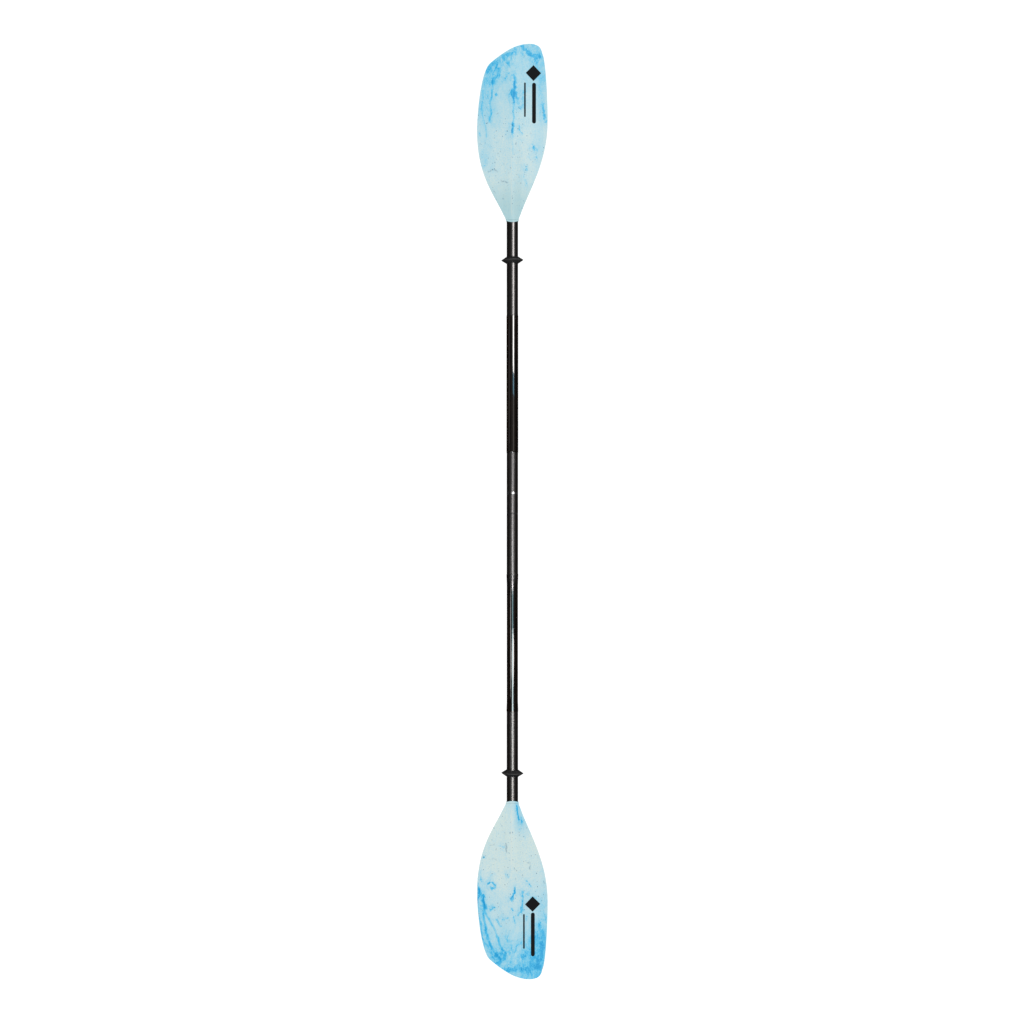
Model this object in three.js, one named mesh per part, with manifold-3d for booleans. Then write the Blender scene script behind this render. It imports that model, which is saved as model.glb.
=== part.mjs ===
// Two-piece kayak paddle, in millimetres.
// X runs along the shaft and Z is up. The paddle lies on its back with both power faces up,
// the long edges of the blades are on -Y, and z = 0 is the floor that it lies on.
// The upper (female) half is on +X and the lower (male) half is on -X.

import * as THREE from 'three';
import { mergeVertices } from 'three/addons/utils/BufferGeometryUtils.js';
import Module from 'manifold-3d';

const wasm = await Module();
wasm.setup();

const { degToRad, lerp, smoothstep } = THREE.MathUtils;

// Whole paddle
const LENGTH = 2300;
const AXIS_HEIGHT = 28.5;
const SEAM_X = -5;
const SIDES = 40;

// Shaft tubes
const TUBE_RADIUS = 14;
const TUBE_WALL = 1.2;
const TUBE_BORE = TUBE_RADIUS - TUBE_WALL;
const TUBE_IN_SOCKET = 72;

// Blades, measured from the collar's end (s = 0) to the tip
const BLADE_LENGTH = 440;
const COLLAR_X = LENGTH / 2 - BLADE_LENGTH;
const COLLAR_RADIUS = 15.25;
const COLLAR_TONGUE = 4;
const COLLAR_TONGUE_FADE = 20;
const SOCKET_RADIUS = TUBE_RADIUS + 0.05;
const SOCKET_DEPTH = TUBE_IN_SOCKET + 4;
const SOCKET_CUT_START = 10;
const NECK_END = 72;
const NECK_BLEND = 45;
const PLATE_HALF = 1.6;
const EDGE_SQUARENESS = 0.35;
const HALF_WIDTH = 87.5;
const SPINE_DIP = 12;
const SPINE_DIP_AT = 227;
const TIP_RISE = 18;
const TIP_RISE_FROM = 267;
const EDGE_DROP = 15.9;
const EDGE_DROP_AT = 182;
const EDGE_DROP_FADE = 0.6;
const RIDGE_ROUNDING = 0.08;
const FRONT_RIB_FADE = 160;
const BACK_RIB_FADE = 300;
const RIB_HALF_WIDTH = [24, 36];

// Each edge of the blade is three cubic curves end to end: [distance from the collar, distance
// from the shaft axis]. The short edge crosses to the long side at the tip, where both meet.
const LONG_EDGE = [
  [0, COLLAR_RADIUS], [42, 19], [132, 83.3], [242, 87.2],
  [283, 88.65], [397, 84], [416, 74.6],
  [421.5, 71.9], [BLADE_LENGTH, 73], [BLADE_LENGTH, 43],
];
const SHORT_EDGE = [
  [0, COLLAR_RADIUS], [49, 26], [99, HALF_WIDTH], [231, HALF_WIDTH],
  [283, HALF_WIDTH], [377, 77], [394.4, 55.2],
  [415.7, 28.4], [BLADE_LENGTH, -8], [BLADE_LENGTH, -43],
];
const ROWS_PER_CURVE = [12, 8, 7];
const LAST_ROW = 2.97;
const RING_POINTS = 36;

// Joint between the halves
const FERRULE_RADIUS = 12.65;
const FERRULE_WALL = 1.5;
const FERRULE_BORE = FERRULE_RADIUS - FERRULE_WALL;
const FERRULE_IN = 95;
const FERRULE_HELD = 75;
const SEAM_RING_WIDTH = 1.6;
const SEAM_GAP = 0.1;
const CAP_FLANGE = 2;
const CAP_PLUG = 14;
const CAP_WALL = 2;

// Snap button and its leaf spring
const BUTTON_X = SEAM_X + 50.5;
const BUTTON_TURN = degToRad(7);
const FEATHER_ANGLES = [0, degToRad(60), degToRad(-60)];
const BUTTON_RADIUS = 4;
const BUTTON_TOP = 16.7;
const BUTTON_DOME = 2.3;
const BUTTON_DOME_STEPS = 5;
const BUTTON_FLANGE_RADIUS = 5.4;
const BUTTON_FLANGE_Z = [8.6, 9.2];
const BUTTON_HOLLOW_RADIUS = 3.1;
const BUTTON_HOLLOW_TOP = 14.4;
const BUTTON_SIDES = 24;
const OUTER_HOLE_RADIUS = 4.7;
const FERRULE_HOLE_RADIUS = 4.35;
const HOLE_CUT_START = 1;
const LEAF_THICKNESS = 0.6;
const LEAF_WIDTH = 7;
const LEAF_BEND_BACK = 42;
const LEAF_BEND_RADIUS = 4.5;
const LEAF_BEND_DEG = [100, 260];
const LEAF_BEND_STEPS = 8;
const LEAF_TOP_Z = BUTTON_FLANGE_Z[0] - 0.2;
const LEAF_FOOT_Z = -9.6;

// Grip sleeves, measured from the seam, and the oval pressed into the lower half under one
const GRIP_FROM = 149;
const GRIP_TO = 487;
const GRIP_BORE = TUBE_RADIUS + 0.05;
const GRIP_RADIUS = 14.5;
const GRIP_BEVEL = 1.5;
const GRIP_LIP = 0.4;
const OVAL = 0.05;
const OVAL_BLEND = 30;
const OVAL_STEPS = 3;

// Drip rings
const DRIP_X = { upper: 618.1, lower: -643.4 };
const DRIP_TILT = degToRad(1.8);
const DRIP_RADIUS = 27;
const DRIP_RIM = 0.7;
const DRIP_HUB_RADIUS = 15.4;
const DRIP_HALF_LENGTH = 8;
const DRIP_BORE = TUBE_RADIUS + 0.15;
const DRIP_BORE_HALF = 1;
const DRIP_MOUTH = TUBE_RADIUS + 0.5;

// Foam plugs and end caps inside the tubes
const FOAM_LENGTH = 30;
const FOAM_RADIUS = TUBE_BORE - 0.1;
const FOAM_FROM_SEAM = 118;
const TUBE_CAP_FLANGE = 2;
const TUBE_CAP_PLUG = 12;
const TUBE_CAP_WALL = 2;
const FIT_GAP = 0.1;

const COLOURS = {
  blade: { color: 0xb8dce5, roughness: 0.45, metalness: 0 },
  tube: { color: 0x16171a, roughness: 0.35, metalness: 0.6 },
  grip: { color: 0x0c0d10, roughness: 0.12, metalness: 0 },
  rubber: { color: 0x121314, roughness: 0.7, metalness: 0 },
  steel: { color: 0xc9cccf, roughness: 0.22, metalness: 1 },
  ferrule: { color: 0x202226, roughness: 0.5, metalness: 0 },
  foam: { color: 0x3c4046, roughness: 0.95, metalness: 0 },
};

// --- helpers -------------------------------------------------------------------------------

function signedVolume(geometry) {
  const position = geometry.attributes.position;
  const index = geometry.index.array;
  const corner = [new THREE.Vector3(), new THREE.Vector3(), new THREE.Vector3()];
  let total = 0;
  for (let i = 0; i < index.length; i += 3) {
    corner.forEach((v, k) => v.fromBufferAttribute(position, index[i + k]));
    total += corner[0].dot(corner[1].cross(corner[2]));
  }
  return total / 6;
}

// One closed surface with shared corners, no flat triangles, and its faces pointing out.
function closed(geometry) {
  const bare = new THREE.BufferGeometry();
  bare.setAttribute('position', geometry.attributes.position.clone());
  bare.setIndex(geometry.index ? geometry.index.clone() : null);
  const merged = mergeVertices(bare, 1e-3);
  const index = [];
  for (let i = 0; i < merged.index.count; i += 3) {
    const [a, b, c] = [0, 1, 2].map((k) => merged.index.getX(i + k));
    if (a !== b && b !== c && c !== a) {
      index.push(a, b, c);
    }
  }
  merged.setIndex(index);
  if (signedVolume(merged) < 0) {
    merged.setIndex(index.reverse());
  }
  return merged;
}

function toManifold(geometry) {
  const solid = closed(geometry);
  return new wasm.Manifold(new wasm.Mesh({
    numProp: 3,
    vertProperties: Float32Array.from(solid.attributes.position.array),
    triVerts: Uint32Array.from(solid.index.array),
  }));
}

function cut(geometry, tools) {
  const result = tools.reduce((solid, tool) => solid.subtract(toManifold(tool)), toManifold(geometry));
  const mesh = result.getMesh();
  const out = new THREE.BufferGeometry();
  out.setAttribute('position', new THREE.BufferAttribute(mesh.vertProperties, 3));
  out.setIndex(Array.from(mesh.triVerts));
  return out;
}

// A solid of revolution about X. The profile is a list of [radius, x].
function turned(profile, sides = SIDES) {
  const points = profile.map(([radius, x]) => new THREE.Vector2(radius, x));
  return new THREE.LatheGeometry(points, sides).rotateZ(-Math.PI / 2);
}

function turnedRing(profile) {
  return turned([...profile, profile[0]]);
}

// A round cutter that points out from the shaft axis, turned about X.
function radialCutter(radius, x, turn) {
  const length = 2 * TUBE_RADIUS;
  return new THREE.CylinderGeometry(radius, radius, length, BUTTON_SIDES)
    .rotateX(Math.PI / 2)
    .translate(0, 0, HOLE_CUT_START + length / 2)
    .rotateX(turn)
    .translate(x, 0, 0);
}

function piece(name, geometry, look) {
  const mesh = new THREE.Mesh(closed(geometry), new THREE.MeshStandardMaterial(look));
  mesh.name = name;
  return mesh;
}

// --- blades --------------------------------------------------------------------------------

function edgePoint(edge, at) {
  const curve = Math.min(2, Math.floor(at));
  const handles = edge.slice(3 * curve, 3 * curve + 4).map(([x, y]) => new THREE.Vector2(x, y));
  return new THREE.CubicBezierCurve(...handles).getPoint(at - curve);
}

// Height of the middle of the blade's thickness above the shaft axis. The spine dips behind the
// axis and rises to the tip, and both sides fall away from it, levelling out at the edges.
function middleHeight(s, y) {
  const dip = SPINE_DIP * smoothstep(s, NECK_END, SPINE_DIP_AT);
  const beyond = Math.max(0, (s - TIP_RISE_FROM) / (BLADE_LENGTH - TIP_RISE_FROM));
  const fade = 1 - EDGE_DROP_FADE * smoothstep(s, TIP_RISE_FROM, BLADE_LENGTH);
  const drop = EDGE_DROP * smoothstep(s, 0, EDGE_DROP_AT) * fade;
  const rounded = (reach) => Math.hypot(reach, RIDGE_ROUNDING) - RIDGE_ROUNDING;
  const reach = Math.min(1, rounded(Math.abs(y) / HALF_WIDTH) / rounded(1));
  return TIP_RISE * beyond ** 2 - dip - drop * Math.sin(reach * Math.PI / 2);
}

// Half the blade's thickness before its edges are rounded: a plate, and the rib over the shaft.
function halfThickness(s, y, ribFade) {
  const rib = (COLLAR_RADIUS - PLATE_HALF) * (1 - smoothstep(s, NECK_END, NECK_END + ribFade));
  const reach = Math.min(1, Math.abs(y) / lerp(...RIB_HALF_WIDTH, s / BLADE_LENGTH));
  const bump = Math.cos(reach * Math.PI / 2) ** 2;
  return PLATE_HALF + rib * lerp(1, bump, smoothstep(s, 0, NECK_BLEND));
}

// The blade's section is a circle at the collar and a thin plate with round edges further out.
function bladeRing(at) {
  const short = edgePoint(SHORT_EDGE, at);
  const long = edgePoint(LONG_EDGE, at);
  const ring = [];
  for (let k = 0; k < RING_POINTS; k += 1) {
    const angle = 2 * Math.PI * k / RING_POINTS;
    const across = (1 - Math.cos(angle)) / 2;
    const s = lerp(short.x, long.x, across);
    const y = lerp(-short.y, long.y, across);
    const power = lerp(1, EDGE_SQUARENESS, smoothstep(s, 0, NECK_BLEND));
    const front = Math.sin(angle) >= 0;
    const half = halfThickness(s, y, front ? FRONT_RIB_FADE : BACK_RIB_FADE);
    const rise = (front ? 1 : -1) * Math.abs(Math.sin(angle)) ** power * half;
    const tongue = COLLAR_TONGUE * Math.cos(angle) ** 2 * Math.max(0, 1 - s / COLLAR_TONGUE_FADE);
    const z = Math.max(-AXIS_HEIGHT, middleHeight(s, y) + rise);
    ring.push(new THREE.Vector3(COLLAR_X + s + tongue, -y, z));
  }
  return ring;
}

function bladeRows() {
  const rows = [];
  ROWS_PER_CURVE.forEach((count, curve) => {
    for (let i = 0; i < count; i += 1) {
      rows.push(curve + i / count);
    }
  });
  return [...rows, LAST_ROW];
}

// side is 1 for the upper blade and -1 for its mirror image.
function blade(side) {
  const rings = bladeRows().map(bladeRing);
  const middle = (ring) => ring.reduce((sum, p) => sum.add(p), new THREE.Vector3()).divideScalar(ring.length);
  const points = [...rings.flat(), middle(rings[0]), middle(rings.at(-1))];
  const index = [];
  for (let k = 0; k < RING_POINTS; k += 1) {
    const next = (k + 1) % RING_POINTS;
    for (let row = 0; row < rings.length - 1; row += 1) {
      const [a, b] = [row * RING_POINTS, (row + 1) * RING_POINTS];
      index.push(a + k, b + k, b + next, a + k, b + next, a + next);
    }
    const last = (rings.length - 1) * RING_POINTS;
    index.push(points.length - 2, k, next, points.length - 1, last + next, last + k);
  }
  const body = new THREE.BufferGeometry().setFromPoints(points);
  body.setIndex(index);
  const [socketFrom, socketTo] = [COLLAR_X - SOCKET_CUT_START, COLLAR_X + SOCKET_DEPTH];
  const socket = turned([
    [0, socketFrom], [SOCKET_RADIUS, socketFrom], [SOCKET_RADIUS, socketTo], [0, socketTo],
  ]);
  return cut(body, [socket]).scale(side, 1, 1);
}

// --- shaft ---------------------------------------------------------------------------------

// How far the lower tube is pressed oval at x: 0 is round and 1 is fully oval.
function ovalAt(x) {
  const fromSeam = SEAM_X - x;
  return smoothstep(fromSeam, GRIP_FROM, GRIP_FROM + OVAL_BLEND)
    * (1 - smoothstep(fromSeam, GRIP_TO - OVAL_BLEND, GRIP_TO));
}

// Presses a round piece of the lower half narrower across the blades and taller through them.
function pressed(geometry) {
  const position = geometry.attributes.position;
  for (let i = 0; i < position.count; i += 1) {
    const amount = OVAL * ovalAt(position.getX(i));
    position.setY(i, position.getY(i) * (1 - amount));
    position.setZ(i, position.getZ(i) * (1 + amount));
  }
  return geometry;
}

// Stations along the lower half where the oval begins and ends.
function ovalStations() {
  const stations = [];
  for (const from of [GRIP_TO - OVAL_BLEND, GRIP_FROM]) {
    for (let i = OVAL_STEPS; i >= 0; i -= 1) {
      stations.push(SEAM_X - from - OVAL_BLEND * i / OVAL_STEPS);
    }
  }
  return stations;
}

function tubeAlong(bore, radius, stations) {
  const outside = stations.map((x) => [radius, x]);
  const inside = stations.map((x) => [bore, x]).reverse();
  return turnedRing([...outside, ...inside]);
}

function upperTube() {
  const from = SEAM_X + SEAM_RING_WIDTH / 2 + SEAM_GAP;
  const tube = tubeAlong(TUBE_BORE, TUBE_RADIUS, [from, COLLAR_X + TUBE_IN_SOCKET]);
  const holes = FEATHER_ANGLES.map((angle) => radialCutter(OUTER_HOLE_RADIUS, BUTTON_X, BUTTON_TURN + angle));
  return cut(tube, holes);
}

function lowerTube() {
  const to = SEAM_X - SEAM_RING_WIDTH / 2 - SEAM_GAP;
  const stations = [-COLLAR_X - TUBE_IN_SOCKET, ...ovalStations(), to];
  return pressed(tubeAlong(TUBE_BORE, TUBE_RADIUS, stations));
}

// A sleeve shrunk over the tube, thinned at both ends.
function gripSleeve(stations) {
  const [first, last] = [stations[0], stations.at(-1)];
  const lip = lerp(GRIP_BORE, GRIP_RADIUS, GRIP_LIP);
  return turnedRing([
    [GRIP_BORE, first], [lip, first],
    [GRIP_RADIUS, first + GRIP_BEVEL],
    ...stations.slice(1, -1).map((x) => [GRIP_RADIUS, x]),
    [GRIP_RADIUS, last - GRIP_BEVEL],
    [lip, last], [GRIP_BORE, last],
    ...stations.slice(1, -1).reverse().map((x) => [GRIP_BORE, x]),
  ]);
}

// A cap with a flange outside a tube's end and a hollow plug inside it. It is made with its
// flange towards +X and turned about for an end that faces -X.
function endCap(tubeEnd, facing, bore, flangeRadius, flange, plug, wall) {
  const plugRadius = bore - FIT_GAP;
  return turned([
    [0, FIT_GAP], [0, FIT_GAP + flange], [flangeRadius, FIT_GAP + flange],
    [flangeRadius, FIT_GAP], [plugRadius, FIT_GAP], [plugRadius, -plug],
    [plugRadius - wall, -plug], [plugRadius - wall, FIT_GAP], [0, FIT_GAP],
  ]).scale(facing, 1, 1).translate(tubeEnd, 0, 0);
}

function foamPlug(middle) {
  const half = FOAM_LENGTH / 2;
  return turned([
    [0, middle - half], [FOAM_RADIUS, middle - half],
    [FOAM_RADIUS, middle + half], [0, middle + half],
  ]);
}

// --- joint ---------------------------------------------------------------------------------

function ferrule() {
  const tube = tubeAlong(FERRULE_BORE, FERRULE_RADIUS, [SEAM_X - FERRULE_HELD, SEAM_X + FERRULE_IN]);
  return cut(tube, [radialCutter(FERRULE_HOLE_RADIUS, BUTTON_X, BUTTON_TURN)]);
}

function seamRing() {
  const half = SEAM_RING_WIDTH / 2;
  return tubeAlong(FERRULE_RADIUS + FIT_GAP, TUBE_RADIUS, [SEAM_X - half, SEAM_X + half]);
}

// A thimble with a round head and a flange that holds it inside the ferrule.
function snapButton() {
  const shoulder = BUTTON_TOP - BUTTON_DOME;
  const head = [];
  for (let i = 0; i < BUTTON_DOME_STEPS; i += 1) {
    const angle = i / BUTTON_DOME_STEPS * Math.PI / 2;
    head.push([BUTTON_RADIUS * Math.cos(angle), shoulder + BUTTON_DOME * Math.sin(angle)]);
  }
  const profile = [
    [0, BUTTON_HOLLOW_TOP], [BUTTON_HOLLOW_RADIUS, BUTTON_HOLLOW_TOP],
    [BUTTON_HOLLOW_RADIUS, BUTTON_FLANGE_Z[0]], [BUTTON_FLANGE_RADIUS, BUTTON_FLANGE_Z[0]],
    [BUTTON_FLANGE_RADIUS, BUTTON_FLANGE_Z[1]], [BUTTON_RADIUS, BUTTON_FLANGE_Z[1]],
    ...head, [0, BUTTON_TOP],
  ];
  return turned(profile, BUTTON_SIDES)
    .rotateY(-Math.PI / 2)
    .rotateX(BUTTON_TURN)
    .translate(BUTTON_X, 0, 0);
}

// A strip bent into a lying V: the upper leaf carries the button and the lower one is the foot.
function buttonSpring() {
  const half = LEAF_THICKNESS / 2;
  const bend = new THREE.Vector2(-LEAF_BEND_BACK, 0);
  const outline = (offset) => [
    new THREE.Vector2(BUTTON_FLANGE_RADIUS, LEAF_TOP_Z - half + offset),
    new THREE.Vector2(-BUTTON_FLANGE_RADIUS, LEAF_TOP_Z - half + offset),
    ...arc(bend, LEAF_BEND_RADIUS + offset, ...LEAF_BEND_DEG, LEAF_BEND_STEPS),
    new THREE.Vector2(0, LEAF_FOOT_Z + half - offset),
    new THREE.Vector2(BUTTON_FLANGE_RADIUS, LEAF_FOOT_Z + half - offset),
  ];
  const shape = new THREE.Shape([...outline(half), ...outline(-half).reverse()]);
  return new THREE.ExtrudeGeometry(shape, { depth: LEAF_WIDTH, bevelEnabled: false })
    .translate(0, 0, -LEAF_WIDTH / 2)
    .rotateX(Math.PI / 2)
    .rotateX(BUTTON_TURN)
    .translate(BUTTON_X, 0, 0);
}

function arc(centre, radius, fromDeg, toDeg, steps) {
  return Array.from({ length: steps + 1 }, (_, i) => {
    const angle = degToRad(lerp(fromDeg, toDeg, i / steps));
    return new THREE.Vector2(centre.x + radius * Math.cos(angle), centre.y + radius * Math.sin(angle));
  });
}

// --- drip rings ----------------------------------------------------------------------------

function dripRing(x, tilt) {
  const ring = turnedRing([
    [DRIP_MOUTH, -DRIP_HALF_LENGTH], [DRIP_HUB_RADIUS, -DRIP_HALF_LENGTH],
    [DRIP_RADIUS - DRIP_RIM, -DRIP_RIM], [DRIP_RADIUS, 0], [DRIP_RADIUS - DRIP_RIM, DRIP_RIM],
    [DRIP_HUB_RADIUS, DRIP_HALF_LENGTH], [DRIP_MOUTH, DRIP_HALF_LENGTH],
    [DRIP_BORE, DRIP_BORE_HALF], [DRIP_BORE, -DRIP_BORE_HALF],
  ]);
  return ring.rotateZ(tilt).translate(x, 0, 0);
}

// --- assembly ------------------------------------------------------------------------------

const gripUpper = [SEAM_X + GRIP_FROM, SEAM_X + GRIP_TO];
const gripLower = ovalStations();
const socketEnd = COLLAR_X + TUBE_IN_SOCKET;
const tubeCap = [TUBE_BORE, TUBE_RADIUS - FIT_GAP, TUBE_CAP_FLANGE, TUBE_CAP_PLUG, TUBE_CAP_WALL];

const femaleHalf = new THREE.Group();
femaleHalf.add(
  piece('blade_upper', blade(1), COLOURS.blade),
  piece('shaft_upper', upperTube(), COLOURS.tube),
  piece('grip_sleeve_upper', gripSleeve(gripUpper), COLOURS.grip),
  piece('foam_plug_upper', foamPlug(SEAM_X + FOAM_FROM_SEAM), COLOURS.foam),
  piece('tube_cap_upper', endCap(socketEnd, 1, ...tubeCap), COLOURS.ferrule),
);

const maleHalf = new THREE.Group();
maleHalf.add(
  piece('blade_lower', blade(-1), COLOURS.blade),
  piece('shaft_lower', lowerTube(), COLOURS.tube),
  piece('grip_sleeve_lower', pressed(gripSleeve(gripLower)), COLOURS.grip),
  piece('foam_plug_lower', foamPlug(SEAM_X - FOAM_FROM_SEAM), COLOURS.foam),
  piece('tube_cap_lower', endCap(-socketEnd, -1, ...tubeCap), COLOURS.ferrule),
  piece('ferrule', ferrule(), COLOURS.ferrule),
  piece(
    'ferrule_end_cap',
    endCap(SEAM_X + FERRULE_IN, 1, FERRULE_BORE, FERRULE_RADIUS - FIT_GAP, CAP_FLANGE, CAP_PLUG, CAP_WALL),
    COLOURS.ferrule,
  ),
  piece('button_spring', buttonSpring(), COLOURS.steel),
  piece('snap_button', snapButton(), COLOURS.steel),
);

const paddle = new THREE.Group();
paddle.add(
  femaleHalf,
  maleHalf,
  piece('seam_ring', seamRing(), COLOURS.rubber),
  piece('drip_ring_upper', dripRing(DRIP_X.upper, DRIP_TILT), COLOURS.rubber),
  piece('drip_ring_lower', dripRing(DRIP_X.lower, -DRIP_TILT), COLOURS.rubber),
);
paddle.position.z = AXIS_HEIGHT;

export default paddle;
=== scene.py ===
"""Looks of the two-piece kayak paddle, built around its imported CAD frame.

Shapes are worked out in millimetres, in the frame of the part: +X towards the upper half, +Z out
of the power faces, and the shaft axis at z = AXIS_HEIGHT. Meshes are made in metres.
"""

import math

import bpy
import numpy as np
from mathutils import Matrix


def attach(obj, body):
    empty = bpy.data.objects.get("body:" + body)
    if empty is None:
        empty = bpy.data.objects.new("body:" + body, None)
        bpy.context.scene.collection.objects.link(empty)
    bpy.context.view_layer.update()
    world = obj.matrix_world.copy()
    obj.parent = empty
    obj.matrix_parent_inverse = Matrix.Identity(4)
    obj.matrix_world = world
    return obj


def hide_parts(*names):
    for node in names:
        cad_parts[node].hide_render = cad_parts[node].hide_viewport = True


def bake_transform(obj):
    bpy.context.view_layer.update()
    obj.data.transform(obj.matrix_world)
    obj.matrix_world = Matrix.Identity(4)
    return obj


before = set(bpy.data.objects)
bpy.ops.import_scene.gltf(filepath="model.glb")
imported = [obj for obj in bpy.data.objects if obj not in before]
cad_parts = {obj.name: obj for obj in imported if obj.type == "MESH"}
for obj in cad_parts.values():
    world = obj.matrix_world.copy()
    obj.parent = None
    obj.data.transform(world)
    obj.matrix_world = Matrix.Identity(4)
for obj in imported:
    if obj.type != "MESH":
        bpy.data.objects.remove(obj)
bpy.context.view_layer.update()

# --- sizes, in millimetres, the same as the part's ------------------------------------------

AXIS_HEIGHT = 28.5
SEAM_X = -5
SEAM_RING_HALF = 0.8
SEAM_GAP = 0.1
FIT_GAP = 0.1

TUBE_RADIUS = 14
TUBE_BORE = 12.8
TUBE_END = 784

# The blade. Distances along it are from the collar, and the outlines are (along, across) curves.
COLLAR_X = 710
COLLAR_RADIUS = 15.25
COLLAR_TONGUE = 4
COLLAR_TONGUE_FADE = 20
SOCKET_RADIUS = 14.05
SOCKET_DEPTH = 76
BLADE_LENGTH = 440
HALF_WIDTH = 87.5
PLATE_HALF = 1.6
NECK_END = 72
NECK_BLEND = 45
EDGE_SQUARENESS = 0.35
SPINE_DIP, SPINE_DIP_AT = 12, 227
TIP_RISE, TIP_RISE_FROM = 18, 267
EDGE_DROP, EDGE_DROP_AT, EDGE_DROP_FADE = 15.9, 182, 0.6
RIDGE_ROUNDING = 0.08
FRONT_RIB_FADE, BACK_RIB_FADE = 160, 300
RIB_HALF_WIDTH = (24, 36)
LONG_EDGE = [
    [(0, 15.25), (42, 19), (132, 83.3), (242, 87.2)],
    [(242, 87.2), (283, 88.65), (397, 84), (416, 74.6)],
    [(416, 74.6), (421.5, 71.9), (440, 73), (440, 43)],
]
SHORT_EDGE = [
    [(0, 15.25), (49, 26), (99, 87.5), (231, 87.5)],
    [(231, 87.5), (283, 87.5), (377, 77), (394.4, 55.2)],
    [(394.4, 55.2), (415.7, 28.4), (440, -8), (440, -43)],
]

# The joint.
FERRULE_RADIUS = 12.65
FERRULE_BORE = 11.15
FERRULE_FROM, FERRULE_TO = -80, 90
CAP_FLANGE, CAP_WALL = 2, 2
FERRULE_CAP_PLUG, TUBE_CAP_PLUG = 14, 12
BUTTON_X = 45.5
BUTTON_TURN = math.radians(7)
BUTTON_RADIUS = 4
BUTTON_TOP, BUTTON_DOME = 16.7, 2.3
FEATHER = math.radians(60)
OUTER_HOLE_RADIUS = 4.7
FERRULE_HOLE_RADIUS = 4.35
LEAF_HALF_WIDTH, LEAF_HALF_THICKNESS = 3.5, 0.3
LEAF_REACH = 5.4
LEAF_TOP, LEAF_FOOT = 8.1, -9.3
LEAF_BEND_BACK, LEAF_BEND_RADIUS = 42, 4.5

# What is on the shaft and in it.
GRIP_BORE, GRIP_WALL_RADIUS, GRIP_FULLEST = 14.05, 14.47, 14.5
GRIP_FROM, GRIP_TO = 149, 487
OVAL, OVAL_BLEND = 0.05, 30
DRIP_UPPER_X, DRIP_LOWER_X = 618.1, -643.4
DRIP_TILT = math.radians(1.8)
DRIP_RADIUS, DRIP_BORE = 27, 14.15
FOAM_RADIUS, FOAM_HALF_LENGTH = 12.7, 15
FOAM_FROM_SEAM = 118

# How finely the finished shapes are cut.
SIDES = 144
HOLE_SIDES = 64
BUTTON_SIDES = 96
RING_POINTS = 320


def srgb(r, g, b):
    """A linear colour from 8-bit sRGB."""
    def channel(v):
        v /= 255
        return v / 12.92 if v <= 0.04045 else ((v + 0.055) / 1.055) ** 2.4
    return (channel(r), channel(g), channel(b), 1)


def smoothstep(x, low, high):
    t = np.clip((x - low) / (high - low), 0, 1)
    return t * t * (3 - 2 * t)


# --- material nodes ---------------------------------------------------------------------------


class Maker:
    """Builds one material's node tree."""

    def __init__(self, name):
        self.material = bpy.data.materials.new(name)
        self.material.use_nodes = True
        self.tree = self.material.node_tree
        self.shader = self.tree.nodes["Principled BSDF"]
        self.coords = self.add("TexCoord").outputs["Object"]

    def add(self, kind, inputs=None, **settings):
        node = self.tree.nodes.new("ShaderNode" + kind)
        for key, value in settings.items():
            setattr(node, key, value)
        for key, value in (inputs or {}).items():
            self.put(node.inputs[key], value)
        return node

    def put(self, socket, value):
        if isinstance(value, bpy.types.NodeSocket):
            self.tree.links.new(value, socket)
        else:
            socket.default_value = value

    def set(self, **inputs):
        for key, value in inputs.items():
            self.put(self.shader.inputs[key.replace("_", " ")], value)

    def math(self, operation, a, b=0.0, clamp=False):
        node = self.add("Math", {0: a, 1: b}, operation=operation, use_clamp=clamp)
        return node.outputs[0]

    def vector(self, operation, a, b=(0, 0, 0)):
        return self.add("VectorMath", {0: a, 1: b}, operation=operation).outputs

    def stretched(self, scale, vector=None):
        return self.vector("MULTIPLY", self.coords if vector is None else vector, scale)[0]

    def noise(self, scale, detail=3.0, roughness=0.5, vector=None, distortion=0.0, colour=False):
        inputs = {
            "Vector": self.coords if vector is None else vector,
            "Scale": scale, "Detail": detail, "Roughness": roughness, "Distortion": distortion,
        }
        return self.add("TexNoise", inputs).outputs[1 if colour else 0]

    def spread(self, value, low, high, to_low=0.0, to_high=1.0, smooth=False):
        inputs = {0: value, 1: low, 2: high, 3: to_low, 4: to_high}
        kind = "SMOOTHSTEP" if smooth else "LINEAR"
        return self.add("MapRange", inputs, interpolation_type=kind).outputs[0]

    def mix(self, share, a, b):
        node = self.add("Mix", {0: share, 6: a, 7: b}, data_type="RGBA")
        return node.outputs[2]

    def blend(self, share, a, b):
        return self.add("Mix", {0: share, 2: a, 3: b}, data_type="FLOAT").outputs[0]

    def ramp(self, value, stops):
        node = self.add("ValToRGB", {0: value})
        elements = node.color_ramp.elements
        for at, colour in stops[1:-1]:
            elements.new(at).color = colour
        elements[0].position, elements[0].color = stops[0]
        elements[-1].position, elements[-1].color = stops[-1]
        return node.outputs[0]

    def attribute(self, name):
        return self.add("Attribute", attribute_name=name).outputs["Fac"]

    def bump(self, height, distance, strength=1.0, under=None):
        inputs = {"Height": height, "Distance": distance, "Strength": strength}
        if under is not None:
            inputs["Normal"] = under
        return self.add("Bump", inputs).outputs[0]


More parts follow.
